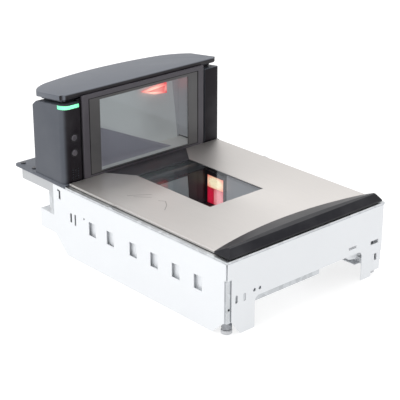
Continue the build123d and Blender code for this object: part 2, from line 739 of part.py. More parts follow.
with BuildPart() as window_trim:
    with BuildSketch(Plane.XY.offset(FLANGE_UNDER)):
        with BuildLine():
            Polyline(
                (-GLASS_HALF, GLASS_BACK),
                (GLASS_HALF, GLASS_BACK),
                (TRIM_BACK_HALF, PLATTER_BACK),
                (-TRIM_BACK_HALF, PLATTER_BACK),
                close=True,
            )
        make_face()
    extrude(amount=PLATTER_TOP - 0.6 - FLANGE_UNDER)
write(window_trim.part, "window_trim")

FRAME_Y = (PLATTER_BACK, TOWER_FRONT + 1.8)
FRAME_Z = (LEDGE_TOP + 0.9, 230.5)
PANE_Z = (111.5, 224.5)
with BuildPart() as upright_frame:
    block((-FRAME_HALF, FRAME_HALF), FRAME_Y, FRAME_Z)
    block((-WINDOW_HALF, WINDOW_HALF), (90, 120), PANE_Z, Mode.SUBTRACT)
    fillet(upright_frame.edges().filter_by(Axis.Z).group_by(Axis.Y)[0], 1)
write(upright_frame.part, "upright_frame")

with BuildPart() as upright_glass:
    block((-WINDOW_HALF, WINDOW_HALF), (102.7, FRAME_Y[1] - 0.4), PANE_Z)
write(upright_glass.part, "upright_glass")

RAIL_FRONT = -227.5
RAIL_HALF = 141.5
with BuildPart() as produce_rail:
    with BuildSketch(Plane.XY.offset(PLATTER_TOP)):
        with BuildLine():
            Line((-RAIL_HALF, RAIL_FRONT), (RAIL_HALF, RAIL_FRONT))
            Line((RAIL_HALF, RAIL_FRONT), (RAIL_HALF, -199))
            ThreePointArc((RAIL_HALF, -199), (0, -180.5), (-RAIL_HALF, -199))
            Line((-RAIL_HALF, -199), (-RAIL_HALF, RAIL_FRONT))
        make_face()
    with BuildSketch(Plane.XY.offset(PLATTER_TOP + 9)):
        with BuildLine():
            Line((-RAIL_HALF + 7, -221), (RAIL_HALF - 7, -221))
            Line((RAIL_HALF - 7, -221), (RAIL_HALF - 7, -218))
            ThreePointArc((RAIL_HALF - 7, -218), (0, -211), (-RAIL_HALF + 7, -218))
            Line((-RAIL_HALF + 7, -218), (-RAIL_HALF + 7, -221))
        make_face()
    loft(ruled=True)
    block((-RAIL_HALF, RAIL_HALF), (RAIL_FRONT, -222.8), (106.6, PLATTER_TOP))
    for side in (-1, 1):
        block(mirrored((PLATTER_HALF + 0.2, RAIL_HALF), side), (RAIL_FRONT, -200), (106.6, PLATTER_TOP))
write(produce_rail.part, "produce_rail")
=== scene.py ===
"""Looks for the in-counter barcode scanner and scale: finishes, fine pieces and the stage."""

import json
import math

import bpy
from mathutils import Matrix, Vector

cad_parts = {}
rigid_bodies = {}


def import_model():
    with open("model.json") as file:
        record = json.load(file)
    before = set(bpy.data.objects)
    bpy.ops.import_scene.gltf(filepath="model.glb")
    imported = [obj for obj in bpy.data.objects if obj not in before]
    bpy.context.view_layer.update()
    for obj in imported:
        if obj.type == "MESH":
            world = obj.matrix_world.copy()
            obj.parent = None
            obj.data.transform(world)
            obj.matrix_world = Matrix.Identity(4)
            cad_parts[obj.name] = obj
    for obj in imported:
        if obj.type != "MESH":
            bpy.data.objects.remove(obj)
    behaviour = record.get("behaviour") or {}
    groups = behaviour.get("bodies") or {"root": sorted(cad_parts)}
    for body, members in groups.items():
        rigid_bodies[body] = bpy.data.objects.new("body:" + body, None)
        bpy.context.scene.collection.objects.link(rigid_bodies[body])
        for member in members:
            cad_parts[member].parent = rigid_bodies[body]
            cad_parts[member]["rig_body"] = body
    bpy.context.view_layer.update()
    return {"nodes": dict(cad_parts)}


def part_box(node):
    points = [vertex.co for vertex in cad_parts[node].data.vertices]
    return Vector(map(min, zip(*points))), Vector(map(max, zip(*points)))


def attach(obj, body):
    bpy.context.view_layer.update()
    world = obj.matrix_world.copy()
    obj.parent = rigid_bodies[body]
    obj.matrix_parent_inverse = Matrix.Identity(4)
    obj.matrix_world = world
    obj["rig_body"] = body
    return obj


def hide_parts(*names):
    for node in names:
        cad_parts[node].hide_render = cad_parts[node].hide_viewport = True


bl_info = {
    "name": "In-Counter Scanner Looks",
    "version": (1, 0, 0),
    "blender": (4, 5, 0),
    "location": "3D View > Sidebar > Scanner",
    "description": "Finishes the scanner's parts, adds its fine pieces and sets its studio",
    "category": "Object",
}

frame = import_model()
NODES = frame["nodes"]
CORNERS = ("front_left", "front_right", "rear_left", "rear_right")
MM = 0.001
TOWER_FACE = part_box("pillar_left")[0].y

# Small gaps that keep a fine piece off the part beside it
HAIR = 0.1 * MM
GAP = 0.3 * MM

# Seals round the tower window and under the bonnet
SEAL_WIDTH = 3.8 * MM
SEAL_TOP = 226 * MM
BONNET_SEAL_FRONT = 118 * MM
BONNET_SEAL_BACK = 120 * MM
BONNET_SEAL_INSET = 9 * MM

# Collars round the two buttons
RING_RADIUS = 5.7 * MM
RING_THICKNESS = 0.45 * MM

# Panels behind the tower window
FOLD_MIRROR_FRONT = 124 * MM
FOLD_MIRROR_BACK = 125.4 * MM
FOLD_MIRROR_HEIGHT = 90 * MM
FOLD_EDGE_X = -57 * MM
FOLD_EDGE_Z = 165 * MM
FOLD_EDGE_NORMAL = (0.41, 0, 0.91)
TOWER_FLOOR_FRONT = 113.6 * MM
TOWER_FLOOR_LEVEL = 107 * MM
TOWER_FLOOR_THICKNESS = 1.2 * MM
CLOSER_INNER = 103.2 * MM
CLOSER_OUTER = 104.6 * MM
CLOSER_FRONT = 150.3 * MM
CLOSER_BACK = 169 * MM

# Walls beside the flat window
LAMP_WALL = 86.5 * MM
LINER_THICKNESS = 1.3 * MM
LINER_BACK = 27 * MM

# Lit faces of the lower lamps, in millimetres: name, span along Y, rise in Z, core, rim, strength
LAMP_FACES = (
    ("window", (30, 64), (56.5, 75), (1.0, 0.84, 0.56), (1.0, 0.14, 0.09), 1.5),
    ("red_filter", (50.5, 64), (31, 56), (0.86, 0.012, 0.06), (0.50, 0.005, 0.02), 1.0),
    ("pink_filter", (30, 50), (31, 56), (1.0, 0.36, 0.38), (0.80, 0.09, 0.13), 1.2),
)

# Etched lines on the platter, in millimetres: two strokes and a hook of three
ETCHED_LINES = (
    ("line_1", (-107, 14), (-79, -5)),
    ("line_2", (-103, 5), (-86, -13)),
    ("hook_1", (-87, -28), (-81, -36)),
    ("hook_2", (-81, -36), (-89, -48)),
    ("hook_3", (-89, -48), (-102, -59)),
)


# ---------------------------------------------------------------- properties
class ScannerColours(bpy.types.PropertyGroup):
    """Colours of the scanner's finishes."""

    enclosure: bpy.props.FloatVectorProperty(
        name="Enclosure", description="Powder coat of the lower enclosure",
        subtype="COLOR", size=3, min=0, max=1, default=(0.79, 0.81, 0.835))
    tower: bpy.props.FloatVectorProperty(
        name="Tower", description="Slate plastic of the tower's ends and bonnet",
        subtype="COLOR", size=3, min=0, max=1, default=(0.078, 0.086, 0.104))
    # Painted shade: the front faces are the same slate plastic, darkened for the little light that
    # falls from the front.
    tower_front_shade: bpy.props.FloatVectorProperty(
        name="Tower face", description="Darker face of the tower that looks at the operator",
        subtype="COLOR", size=3, min=0, max=1, default=(0.004, 0.002, 0.005))
    trim: bpy.props.FloatVectorProperty(
        name="Trim", description="Black plastic of the window's frame and trim",
        subtype="COLOR", size=3, min=0, max=1, default=(0.022, 0.02, 0.024))
    rail: bpy.props.FloatVectorProperty(
        name="Rail", description="Satin plastic of the produce rail",
        subtype="COLOR", size=3, min=0, max=1, default=(0.011, 0.011, 0.015))
    steel: bpy.props.FloatVectorProperty(
        name="Platter steel", description="Warm satin steel of the platter",
        subtype="COLOR", size=3, min=0, max=1, default=(0.63, 0.605, 0.585))
    zinc: bpy.props.FloatVectorProperty(
        name="Zinc", description="Bright zinc of the rim and brackets",
        subtype="COLOR", size=3, min=0, max=1, default=(0.58, 0.60, 0.62))
    status_light: bpy.props.FloatVectorProperty(
        name="Status light", description="Glow of the light that shows a good read",
        subtype="COLOR", size=3, min=0, max=1, default=(0.02, 0.55, 0.22))
    lamp: bpy.props.FloatVectorProperty(
        name="Scan lamps", description="Red glow of the scan lamps",
        subtype="COLOR", size=3, min=0, max=1, default=(0.85, 0.012, 0.03))


class ScannerSizes(bpy.types.PropertyGroup):
    """Sizes of the fine pieces."""

    edge: bpy.props.FloatProperty(
        name="Moulded edge", description="Radius of the moulded parts' edges",
        unit="LENGTH", default=0.6 * MM, min=0.0)
    border: bpy.props.FloatProperty(
        name="Pane border", description="Width of the black print round the upright pane",
        unit="LENGTH", default=19.2 * MM, min=0.001)
    etch: bpy.props.FloatProperty(
        name="Etched line", description="Width of the etched lines on the platter",
        unit="LENGTH", default=1.0 * MM, min=0.0001)


class ScannerStage(bpy.types.PropertyGroup):
    """Camera and light of the studio."""

    azimuth: bpy.props.FloatProperty(
        name="Azimuth", description="Camera's turn from straight in front, towards the right",
        subtype="ANGLE", default=math.radians(-41.775))
    elevation: bpy.props.FloatProperty(
        name="Elevation", description="Camera's height as an angle",
        subtype="ANGLE", default=math.radians(22.507))
    distance: bpy.props.FloatProperty(
        name="Distance", description="From the camera to the point it aims at",
        unit="LENGTH", default=1.8)
    aim: bpy.props.FloatVectorProperty(
        name="Aim", description="Point in the middle of the picture",
        subtype="XYZ", size=3, default=(-0.01899, -0.03664, 0.09388))
    lens: bpy.props.FloatProperty(
        name="Lens", description="Focal length on a 36 mm sensor, in millimetres", default=117.08)
    sky: bpy.props.FloatProperty(
        name="Sky", description="Strength of the white studio light all round", default=0.86)


# ---------------------------------------------------------------- mesh helpers
def clear_selection():
    """Leave nothing selected, in object mode."""
    if bpy.context.mode != "OBJECT":
        bpy.ops.object.mode_set(mode="OBJECT")
    bpy.ops.object.select_all(action="DESELECT")


def start_editing(piece):
    """Make one piece active and open it in edit mode with nothing selected."""
    clear_selection()
    piece.select_set(True)
    bpy.context.view_layer.objects.active = piece
    bpy.ops.object.mode_set(mode="EDIT")
    bpy.ops.mesh.select_all(action="DESELECT")


def select_faces(piece, test):
    """In edit mode, select the faces whose centre and normal pass a test."""
    bpy.ops.object.mode_set(mode="OBJECT")
    for face in piece.data.polygons:
        face.select = test(face.center, face.normal)
    bpy.ops.object.mode_set(mode="EDIT")


def add_block(name, low, high):
    """A box primitive between two corners, with its place in its mesh."""
    clear_selection()
    low, high = Vector(low), Vector(high)
    bpy.ops.mesh.primitive_cube_add(size=1, location=(low + high) / 2, scale=high - low)
    piece = bpy.context.object
    piece.name = name
    bpy.ops.object.transform_apply(location=True, rotation=True, scale=True)
    return piece


def add_ring(name, place, radius, thickness):
    """A torus primitive round an axis that runs along Y."""
    clear_selection()
    bpy.ops.mesh.primitive_torus_add(
        location=place, rotation=(math.pi / 2, 0, 0), major_radius=radius, minor_radius=thickness,
        major_segments=64, minor_segments=12)
    piece = bpy.context.object
    piece.name = name
    bpy.ops.object.transform_apply(location=True, rotation=True, scale=True)
    bpy.ops.object.shade_smooth()
    return piece


def join_blocks(name, boxes):
    """Several boxes that touch, as one piece."""
    blocks = [add_block(name, low, high) for low, high in boxes]
    clear_selection()
    for piece in blocks:
        piece.select_set(True)
    bpy.context.view_layer.objects.active = blocks[0]
    bpy.ops.object.join()
    return blocks[0]


def bevel_all(piece, width, segments, angle=30):
    """Round every edge sharper than an angle, and apply it."""
    clear_selection()
    piece.select_set(True)
    bpy.context.view_layer.objects.active = piece
    bevel = piece.modifiers.new("Rounded edges", "BEVEL")
    bevel.width = width
    bevel.segments = segments
    bevel.limit_method = "ANGLE"
    bevel.angle_limit = math.radians(angle)
    bevel.use_clamp_overlap = True
    bevel.harden_normals = False
    bpy.ops.object.modifier_apply(modifier=bevel.name)
    bpy.ops.object.shade_smooth_by_angle(angle=math.radians(28))


def copy_of(node, name):
    """An own mesh of one CAD node, merged and freed of its flat triangles' edges."""
    clear_selection()
    piece = NODES[node].copy()
    piece.data = NODES[node].data.copy()
    for key in list(piece.keys()):
        if key.startswith("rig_"):
            del piece[key]
    piece.parent = None
    piece.name = name
    bpy.context.scene.collection.objects.link(piece)
    piece.hide_render = False
    start_editing(piece)
    bpy.ops.mesh.select_all(action="SELECT")
    bpy.ops.mesh.customdata_custom_splitnormals_clear()
    bpy.ops.mesh.remove_doubles(threshold=0.01 * MM)
    bpy.ops.mesh.dissolve_limited(angle_limit=math.radians(0.6))
    bpy.ops.object.mode_set(mode="OBJECT")
    return piece


def body_of(node):
    """Name of the body that a CAD node rides on."""
    return NODES[node]["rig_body"]


def stand_for(piece, node, material):
    """Let a refined copy ride, wear a finish and stand for its CAD node."""
    piece.data.materials.clear()
    piece.data.materials.append(material)
    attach(piece, body_of(node))
    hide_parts(node)


def finish_node(node, material):
    """Give a CAD node its finish."""
    mesh = NODES[node].data
    mesh.materials.clear()
    mesh.materials.append(material)


def finish_piece(piece, body, material):
    """Let a new piece ride on a body and wear a finish."""
    piece.data.materials.clear()
    piece.data.materials.append(material)
    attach(piece, body)


def new_material(name):
    """An empty node material and its tree."""
    material = bpy.data.materials.new(name)
    material.use_nodes = True
    material.node_tree.nodes.clear()
    return material, material.node_tree


def framed(tree, label, nodes):
    """A frame round the nodes that make one effect."""
    group = tree.nodes.new("NodeFrame")
    group.label = label
    for node in nodes:
        node.parent = group


# ---------------------------------------------------------------- materials
def powder_coat(name, colour):
    """Powder coat: orange peel, faint handling marks and a slightly uneven tone."""
    material, tree = new_material(name)
    place = tree.nodes.new("ShaderNodeTexCoord")
    place.label = "Place on the sheet"
    place.location = (-1100, 0)
    cloud = tree.nodes.new("ShaderNodeTexNoise")
    cloud.label = "Uneven coat"
    cloud.location = (-880, 260)
    cloud.inputs["Scale"].default_value = 9
    cloud.inputs["Detail"].default_value = 3
    tone = tree.nodes.new("ShaderNodeMix")
    tone.label = "Coat colour"
    tone.location = (-560, 260)
    tone.data_type = "RGBA"
    tone.inputs["A"].default_value = (*[c * 0.955 for c in colour], 1)
    tone.inputs["B"].default_value = (*colour, 1)
    rub = tree.nodes.new("ShaderNodeTexNoise")
    rub.label = "Handling marks"
    rub.location = (-880, 0)
    rub.inputs["Scale"].default_value = 42
    rub.inputs["Detail"].default_value = 6
    rub.inputs["Distortion"].default_value = 0.6
    gloss = tree.nodes.new("ShaderNodeMapRange")
    gloss.label = "Roughness of the coat"
    gloss.location = (-560, 0)
    gloss.inputs["From Min"].default_value = 0.35
    gloss.inputs["From Max"].default_value = 0.7
    gloss.inputs["To Min"].default_value = 0.36
    gloss.inputs["To Max"].default_value = 0.52
    peel = tree.nodes.new("ShaderNodeTexNoise")
    peel.label = "Orange peel"
    peel.location = (-880, -300)
    peel.inputs["Scale"].default_value = 620
    peel.inputs["Detail"].default_value = 2
    relief = tree.nodes.new("ShaderNodeBump")
    relief.label = "Peel relief"
    relief.location = (-560, -300)
    relief.inputs["Strength"].default_value = 0.12
    relief.inputs["Distance"].default_value = 0.0003
    surface = tree.nodes.new("ShaderNodeBsdfPrincipled")
    surface.label = "Powder coat"
    surface.location = (-240, 100)
    output = tree.nodes.new("ShaderNodeOutputMaterial")
    output.label = "Surface"
    output.location = (60, 100)
    framed(tree, "Tone", (cloud, tone))
    framed(tree, "Gloss", (rub, gloss))
    framed(tree, "Relief", (peel, relief))
    tree.links.new(place.outputs["Object"], cloud.inputs["Vector"])
    tree.links.new(place.outputs["Object"], rub.inputs["Vector"])
    tree.links.new(place.outputs["Object"], peel.inputs["Vector"])
    tree.links.new(cloud.outputs["Fac"], tone.inputs["Factor"])
    tree.links.new(rub.outputs["Fac"], gloss.inputs["Value"])
    tree.links.new(peel.outputs["Fac"], relief.inputs["Height"])
    tree.links.new(tone.outputs["Result"], surface.inputs["Base Color"])
    tree.links.new(gloss.outputs["Result"], surface.inputs["Roughness"])
    tree.links.new(relief.outputs["Normal"], surface.inputs["Normal"])
    tree.links.new(surface.outputs["BSDF"], output.inputs["Surface"])
    return material


def zinc(name, colour, spangle=130, rough=0.34):
    """Galvanised sheet: crystal spangle in tone and gloss, and a dulled film."""
    material, tree = new_material(name)
    place = tree.nodes.new("ShaderNodeTexCoord")
    place.label = "Place on the sheet"
    place.location = (-1100, 0)
    crystal = tree.nodes.new("ShaderNodeTexVoronoi")
    crystal.label = "Zinc crystals"
    crystal.location = (-880, 220)
    crystal.inputs["Scale"].default_value = spangle
    shade = tree.nodes.new("ShaderNodeSeparateColor")
    shade.label = "One shade a crystal"
    shade.location = (-680, 220)
    tone = tree.nodes.new("ShaderNodeMix")
    tone.label = "Crystal tone"
    tone.location = (-460, 220)
    tone.data_type = "RGBA"
    tone.inputs["A"].default_value = (*[c * 0.84 for c in colour], 1)
    tone.inputs["B"].default_value = (*[min(1, c * 1.08) for c in colour], 1)
    film = tree.nodes.new("ShaderNodeTexNoise")
    film.label = "Dulled film"
    film.location = (-880, -80)
    film.inputs["Scale"].default_value = 60
    film.inputs["Detail"].default_value = 5
    gloss = tree.nodes.new("ShaderNodeMapRange")
    gloss.label = "Roughness of the zinc"
    gloss.location = (-460, -80)
    gloss.inputs["To Min"].default_value = rough - 0.08
    gloss.inputs["To Max"].default_value = rough + 0.14
    surface = tree.nodes.new("ShaderNodeBsdfPrincipled")
    surface.label = "Zinc"
    surface.location = (-200, 100)
    surface.inputs["Metallic"].default_value = 1
    output = tree.nodes.new("ShaderNodeOutputMaterial")
    output.label = "Surface"
    output.location = (100, 100)
    framed(tree, "Spangle", (crystal, shade, tone))
    framed(tree, "Gloss", (film, gloss))
    tree.links.new(place.outputs["Object"], crystal.inputs["Vector"])
    tree.links.new(place.outputs["Object"], film.inputs["Vector"])
    tree.links.new(crystal.outputs["Color"], shade.inputs["Color"])
    tree.links.new(shade.outputs["Red"], tone.inputs["Factor"])
    tree.links.new(film.outputs["Fac"], gloss.inputs["Value"])
    tree.links.new(tone.outputs["Result"], surface.inputs["Base Color"])
    tree.links.new(gloss.outputs["Result"], surface.inputs["Roughness"])
    tree.links.new(surface.outputs["BSDF"], output.inputs["Surface"])
    return material


def brushed_metal(name, colour, rough=0.34, stretch=(4, 260, 260), grain_depth=0.10):
    """Brushed metal: a long grain in tone, gloss and relief, and a few wiped smears."""
    material, tree = new_material(name)
    place = tree.nodes.new("ShaderNodeTexCoord")
    place.label = "Place on the metal"
    place.location = (-1300, 0)
    along = tree.nodes.new("ShaderNodeMapping")
    along.label = "Grain runs one way"
    along.location = (-1100, 200)
    along.inputs["Scale"].default_value = stretch
    grain = tree.nodes.new("ShaderNodeTexNoise")
    grain.label = "Brushed grain"
    grain.location = (-880, 200)
    grain.inputs["Scale"].default_value = 6
    grain.inputs["Detail"].default_value = 5
    tone = tree.nodes.new("ShaderNodeMix")
    tone.label = "Grain tone"
    tone.location = (-460, 240)
    tone.data_type = "RGBA"
    tone.inputs["A"].default_value = (*[c * 0.93 for c in colour], 1)
    tone.inputs["B"].default_value = (*[min(1, c * 1.05) for c in colour], 1)
    smear = tree.nodes.new("ShaderNodeTexNoise")
    smear.label = "Wiped smears"
    smear.location = (-880, -120)
    smear.inputs["Scale"].default_value = 7
    smear.inputs["Detail"].default_value = 4
    smear.inputs["Distortion"].default_value = 1.2
    gloss = tree.nodes.new("ShaderNodeMapRange")
    gloss.label = "Roughness of the metal"
    gloss.location = (-460, -60)
    gloss.inputs["From Min"].default_value = 0.3
    gloss.inputs["From Max"].default_value = 0.7
    gloss.inputs["To Min"].default_value = rough - 0.03
    gloss.inputs["To Max"].default_value = rough + 0.05
    relief = tree.nodes.new("ShaderNodeBump")
    relief.label = "Grain relief"
    relief.location = (-460, -340)
    relief.inputs["Strength"].default_value = grain_depth
    relief.inputs["Distance"].default_value = 0.0001
    surface = tree.nodes.new("ShaderNodeBsdfPrincipled")
    surface.label = "Brushed metal"
    surface.location = (-160, 100)
    surface.inputs["Metallic"].default_value = 1
    surface.inputs["Anisotropic"].default_value = 0.3
    output = tree.nodes.new("ShaderNodeOutputMaterial")
    output.label = "Surface"
    output.location = (140, 100)
    framed(tree, "Grain", (along, grain, tone))
    framed(tree, "Gloss", (smear, gloss))
    tree.links.new(place.outputs["Object"], along.inputs["Vector"])
    tree.links.new(along.outputs["Vector"], grain.inputs["Vector"])
    tree.links.new(place.outputs["Object"], smear.inputs["Vector"])
    tree.links.new(grain.outputs["Fac"], tone.inputs["Factor"])
    tree.links.new(smear.outputs["Fac"], gloss.inputs["Value"])
    tree.links.new(grain.outputs["Fac"], relief.inputs["Height"])
    tree.links.new(tone.outputs["Result"], surface.inputs["Base Color"])
    tree.links.new(gloss.outputs["Result"], surface.inputs["Roughness"])
    tree.links.new(relief.outputs["Normal"], surface.inputs["Normal"])
    tree.links.new(surface.outputs["BSDF"], output.inputs["Surface"])
    return material


def moulded_plastic(name, colour, shaded_face_colour=None, rough=0.42, texture=900, shine=0.4):
    """Moulded plastic: spark-eroded texture, faint dust, and painted shade that can darken the faces
    turned to the front.
    """
    material, tree = new_material(name)
    shaded_face_colour = shaded_face_colour or colour
    place = tree.nodes.new("ShaderNodeTexCoord")
    place.label = "Place on the moulding"
    place.location = (-1300, 0)
    # Painted shade: faces turned to the front take the shaded face colour in place of the plastic's
    # own.
    facing = tree.nodes.new("ShaderNodeSeparateXYZ")
    facing.label = "Which way it faces"
    facing.location = (-1080, 420)
    front = tree.nodes.new("ShaderNodeMapRange")
    front.label = "Share of the front face"
    front.location = (-860, 420)
    front.interpolation_type = "SMOOTHSTEP"
    front.inputs["From Min"].default_value = -0.55
    front.inputs["From Max"].default_value = -0.93
    skin = tree.nodes.new("ShaderNodeMix")
    skin.label = "Side colour or painted front shade"
    skin.location = (-620, 420)
    skin.data_type = "RGBA"
    skin.inputs["A"].default_value = (*colour, 1)
    skin.inputs["B"].default_value = (*shaded_face_colour, 1)
    dust = tree.nodes.new("ShaderNodeTexNoise")
    dust.label = "Faint dust"
    dust.location = (-1080, 120)
    dust.inputs["Scale"].default_value = 24
    dust.inputs["Detail"].default_value = 8
    settle = tree.nodes.new("ShaderNodeMapRange")
    settle.label = "How much dust"
    settle.location = (-860, 120)
    settle.inputs["From Min"].default_value = 0.45
    settle.inputs["From Max"].default_value = 0.8
    settle.inputs["To Max"].default_value = 0.05
    tone = tree.nodes.new("ShaderNodeMix")
    tone.label = "Dusty plastic"
    tone.location = (-400, 300)
    tone.data_type = "RGBA"
    tone.inputs["B"].default_value = (0.42, 0.42, 0.44, 1)
    gloss = tree.nodes.new("ShaderNodeMapRange")
    gloss.label = "Roughness of the plastic"
    gloss.location = (-620, -60)
    gloss.inputs["To Min"].default_value = rough - 0.05
    gloss.inputs["To Max"].default_value = rough + 0.1
    spark = tree.nodes.new("ShaderNodeTexNoise")
    spark.label = "Spark texture"
    spark.location = (-860, -340)
    spark.inputs["Scale"].default_value = texture
    spark.inputs["Detail"].default_value = 2
    relief = tree.nodes.new("ShaderNodeBump")
    relief.label = "Texture relief"
    relief.location = (-400, -340)
    relief.inputs["Strength"].default_value = 0.16
    relief.inputs["Distance"].default_value = 0.0002
    surface = tree.nodes.new("ShaderNodeBsdfPrincipled")
    surface.label = "Moulded plastic"
    surface.location = (-120, 100)
    surface.inputs["Specular IOR Level"].default_value = shine
    output = tree.nodes.new("ShaderNodeOutputMaterial")
    output.label = "Surface"
    output.location = (180, 100)
    framed(tree, "Painted front shade", (facing, front, skin))
    framed(tree, "Dust", (dust, settle, tone))
    framed(tree, "Moulded texture", (spark, relief))
    tree.links.new(place.outputs["Normal"], facing.inputs["Vector"])
    tree.links.new(facing.outputs["Y"], front.inputs["Value"])
    tree.links.new(front.outputs["Result"], skin.inputs["Factor"])
    tree.links.new(place.outputs["Object"], dust.inputs["Vector"])
    tree.links.new(place.outputs["Object"], spark.inputs["Vector"])
    tree.links.new(dust.outputs["Fac"], settle.inputs["Value"])
    tree.links.new(settle.outputs["Result"], tone.inputs["Factor"])
    tree.links.new(skin.outputs["Result"], tone.inputs["A"])
    tree.links.new(dust.outputs["Fac"], gloss.inputs["Value"])
    tree.links.new(spark.outputs["Fac"], relief.inputs["Height"])
    tree.links.new(tone.outputs["Result"], surface.inputs["Base Color"])
    tree.links.new(gloss.outputs["Result"], surface.inputs["Roughness"])
    tree.links.new(relief.outputs["Normal"], surface.inputs["Normal"])
    tree.links.new(surface.outputs["BSDF"], output.inputs["Surface"])
    return material


def scan_pane(name, tint):
    """Coated scan glass: see-through with a grey tint, and a mirror gloss by angle."""
    material, tree = new_material(name)
    place = tree.nodes.new("ShaderNodeTexCoord")
    place.label = "Place on the pane"
    place.location = (-900, 0)
    wipe = tree.nodes.new("ShaderNodeTexNoise")
    wipe.label = "Wiping marks"
    wipe.location = (-700, -160)
    wipe.inputs["Scale"].default_value = 14
    wipe.inputs["Detail"].default_value = 6
    wipe.inputs["Distortion"].default_value = 2
    haze = tree.nodes.new("ShaderNodeMapRange")
    haze.label = "Haze in the gloss"
    haze.location = (-480, -160)
    haze.inputs["To Min"].default_value = 0.01
    haze.inputs["To Max"].default_value = 0.07
    angle = tree.nodes.new("ShaderNodeLayerWeight")
    angle.label = "Turned away from the eye"
    angle.location = (-860, 260)
    angle.inputs["Blend"].default_value = 0.5
    steep = tree.nodes.new("ShaderNodeMath")
    steep.label = "Steeper at a glance"
    steep.location = (-680, 260)
    steep.operation = "POWER"
    steep.inputs[1].default_value = 5
    share = tree.nodes.new("ShaderNodeMapRange")
    share.label = "Share that mirrors"
    share.location = (-480, 260)
    share.inputs["To Min"].default_value = 0.03
    share.inputs["To Max"].default_value = 0.9
    clear = tree.nodes.new("ShaderNodeBsdfTransparent")
    clear.label = "What passes through"
    clear.location = (-240, 120)
    clear.inputs["Color"].default_value = (*tint, 1)
    gloss = tree.nodes.new("ShaderNodeBsdfGlossy")
    gloss.label = "What mirrors"
    gloss.location = (-240, -80)
    gloss.inputs["Color"].default_value = (0.92, 0.95, 1.0, 1)
    pane = tree.nodes.new("ShaderNodeMixShader")
    pane.label = "Pane"
    pane.location = (0, 100)
    output = tree.nodes.new("ShaderNodeOutputMaterial")
    output.label = "Surface"
    output.location = (200, 100)
    framed(tree, "Wiped haze", (wipe, haze))
    framed(tree, "Mirroring by angle", (angle, steep, share))
    framed(tree, "Glass", (clear, gloss, pane))
    tree.links.new(place.outputs["Object"], wipe.inputs["Vector"])
    tree.links.new(wipe.outputs["Fac"], haze.inputs["Value"])
    tree.links.new(haze.outputs["Result"], gloss.inputs["Roughness"])
    tree.links.new(angle.outputs["Facing"], steep.inputs[0])
    tree.links.new(steep.outputs["Value"], share.inputs["Value"])
    tree.links.new(share.outputs["Result"], pane.inputs["Fac"])
    tree.links.new(clear.outputs["BSDF"], pane.inputs[1])
    tree.links.new(gloss.outputs["BSDF"], pane.inputs[2])
    tree.links.new(pane.outputs["Shader"], output.inputs["Surface"])
    return material


def glow(name, core, rim, centre, reach, strength):
    """A lit diffuser: bright at its lamp's centre and deeper towards its rim."""
    material, tree = new_material(name)
    place = tree.nodes.new("ShaderNodeTexCoord")
    place.label = "Place on the diffuser"
    place.location = (-1100, 0)
    centred = tree.nodes.new("ShaderNodeMapping")
    centred.label = "Centred on the lamp"
    centred.location = (-900, 0)
    centred.vector_type = "TEXTURE"
    centred.inputs["Location"].default_value = centre
    centred.inputs["Scale"].default_value = reach
    ball = tree.nodes.new("ShaderNodeTexGradient")
    ball.label = "Fall of the light"
    ball.location = (-700, 0)
    ball.gradient_type = "SPHERICAL"
    frost = tree.nodes.new("ShaderNodeTexNoise")
    frost.label = "Frosted grain"
    frost.location = (-700, -260)
    frost.inputs["Scale"].default_value = 300
    colour = tree.nodes.new("ShaderNodeValToRGB")
    colour.label = "Rim to core"
    colour.location = (-480, 60)
    colour.color_ramp.elements[0].color = (*rim, 1)
    colour.color_ramp.elements[0].position = 0.12
    colour.color_ramp.elements[1].color = (*core, 1)
    colour.color_ramp.elements[1].position = 0.62
    relief = tree.nodes.new("ShaderNodeBump")
    relief.label = "Frosted relief"
    relief.location = (-480, -260)
    relief.inputs["Strength"].default_value = 0.2
    relief.inputs["Distance"].default_value = 0.0002
    surface = tree.nodes.new("ShaderNodeBsdfPrincipled")
    surface.label = "Lit diffuser"
    surface.location = (-160, 60)
    surface.inputs["Roughness"].default_value = 0.35
    surface.inputs["Emission Strength"].default_value = strength
    output = tree.nodes.new("ShaderNodeOutputMaterial")
    output.label = "Surface"
    output.location = (140, 60)
    framed(tree, "Light", (centred, ball, colour))
    framed(tree, "Frost", (frost, relief))
    tree.links.new(place.outputs["Object"], centred.inputs["Vector"])
    tree.links.new(centred.outputs["Vector"], ball.inputs["Vector"])
    tree.links.new(place.outputs["Object"], frost.inputs["Vector"])
    tree.links.new(ball.outputs["Fac"], colour.inputs["Fac"])
    tree.links.new(frost.outputs["Fac"], relief.inputs["Height"])
    tree.links.new(colour.outputs["Color"], surface.inputs["Base Color"])
    tree.links.new(colour.outputs["Color"], surface.inputs["Emission Color"])
    tree.links.new(relief.outputs["Normal"], surface.inputs["Normal"])
    tree.links.new(surface.outputs["BSDF"], output.inputs["Surface"])
    return material


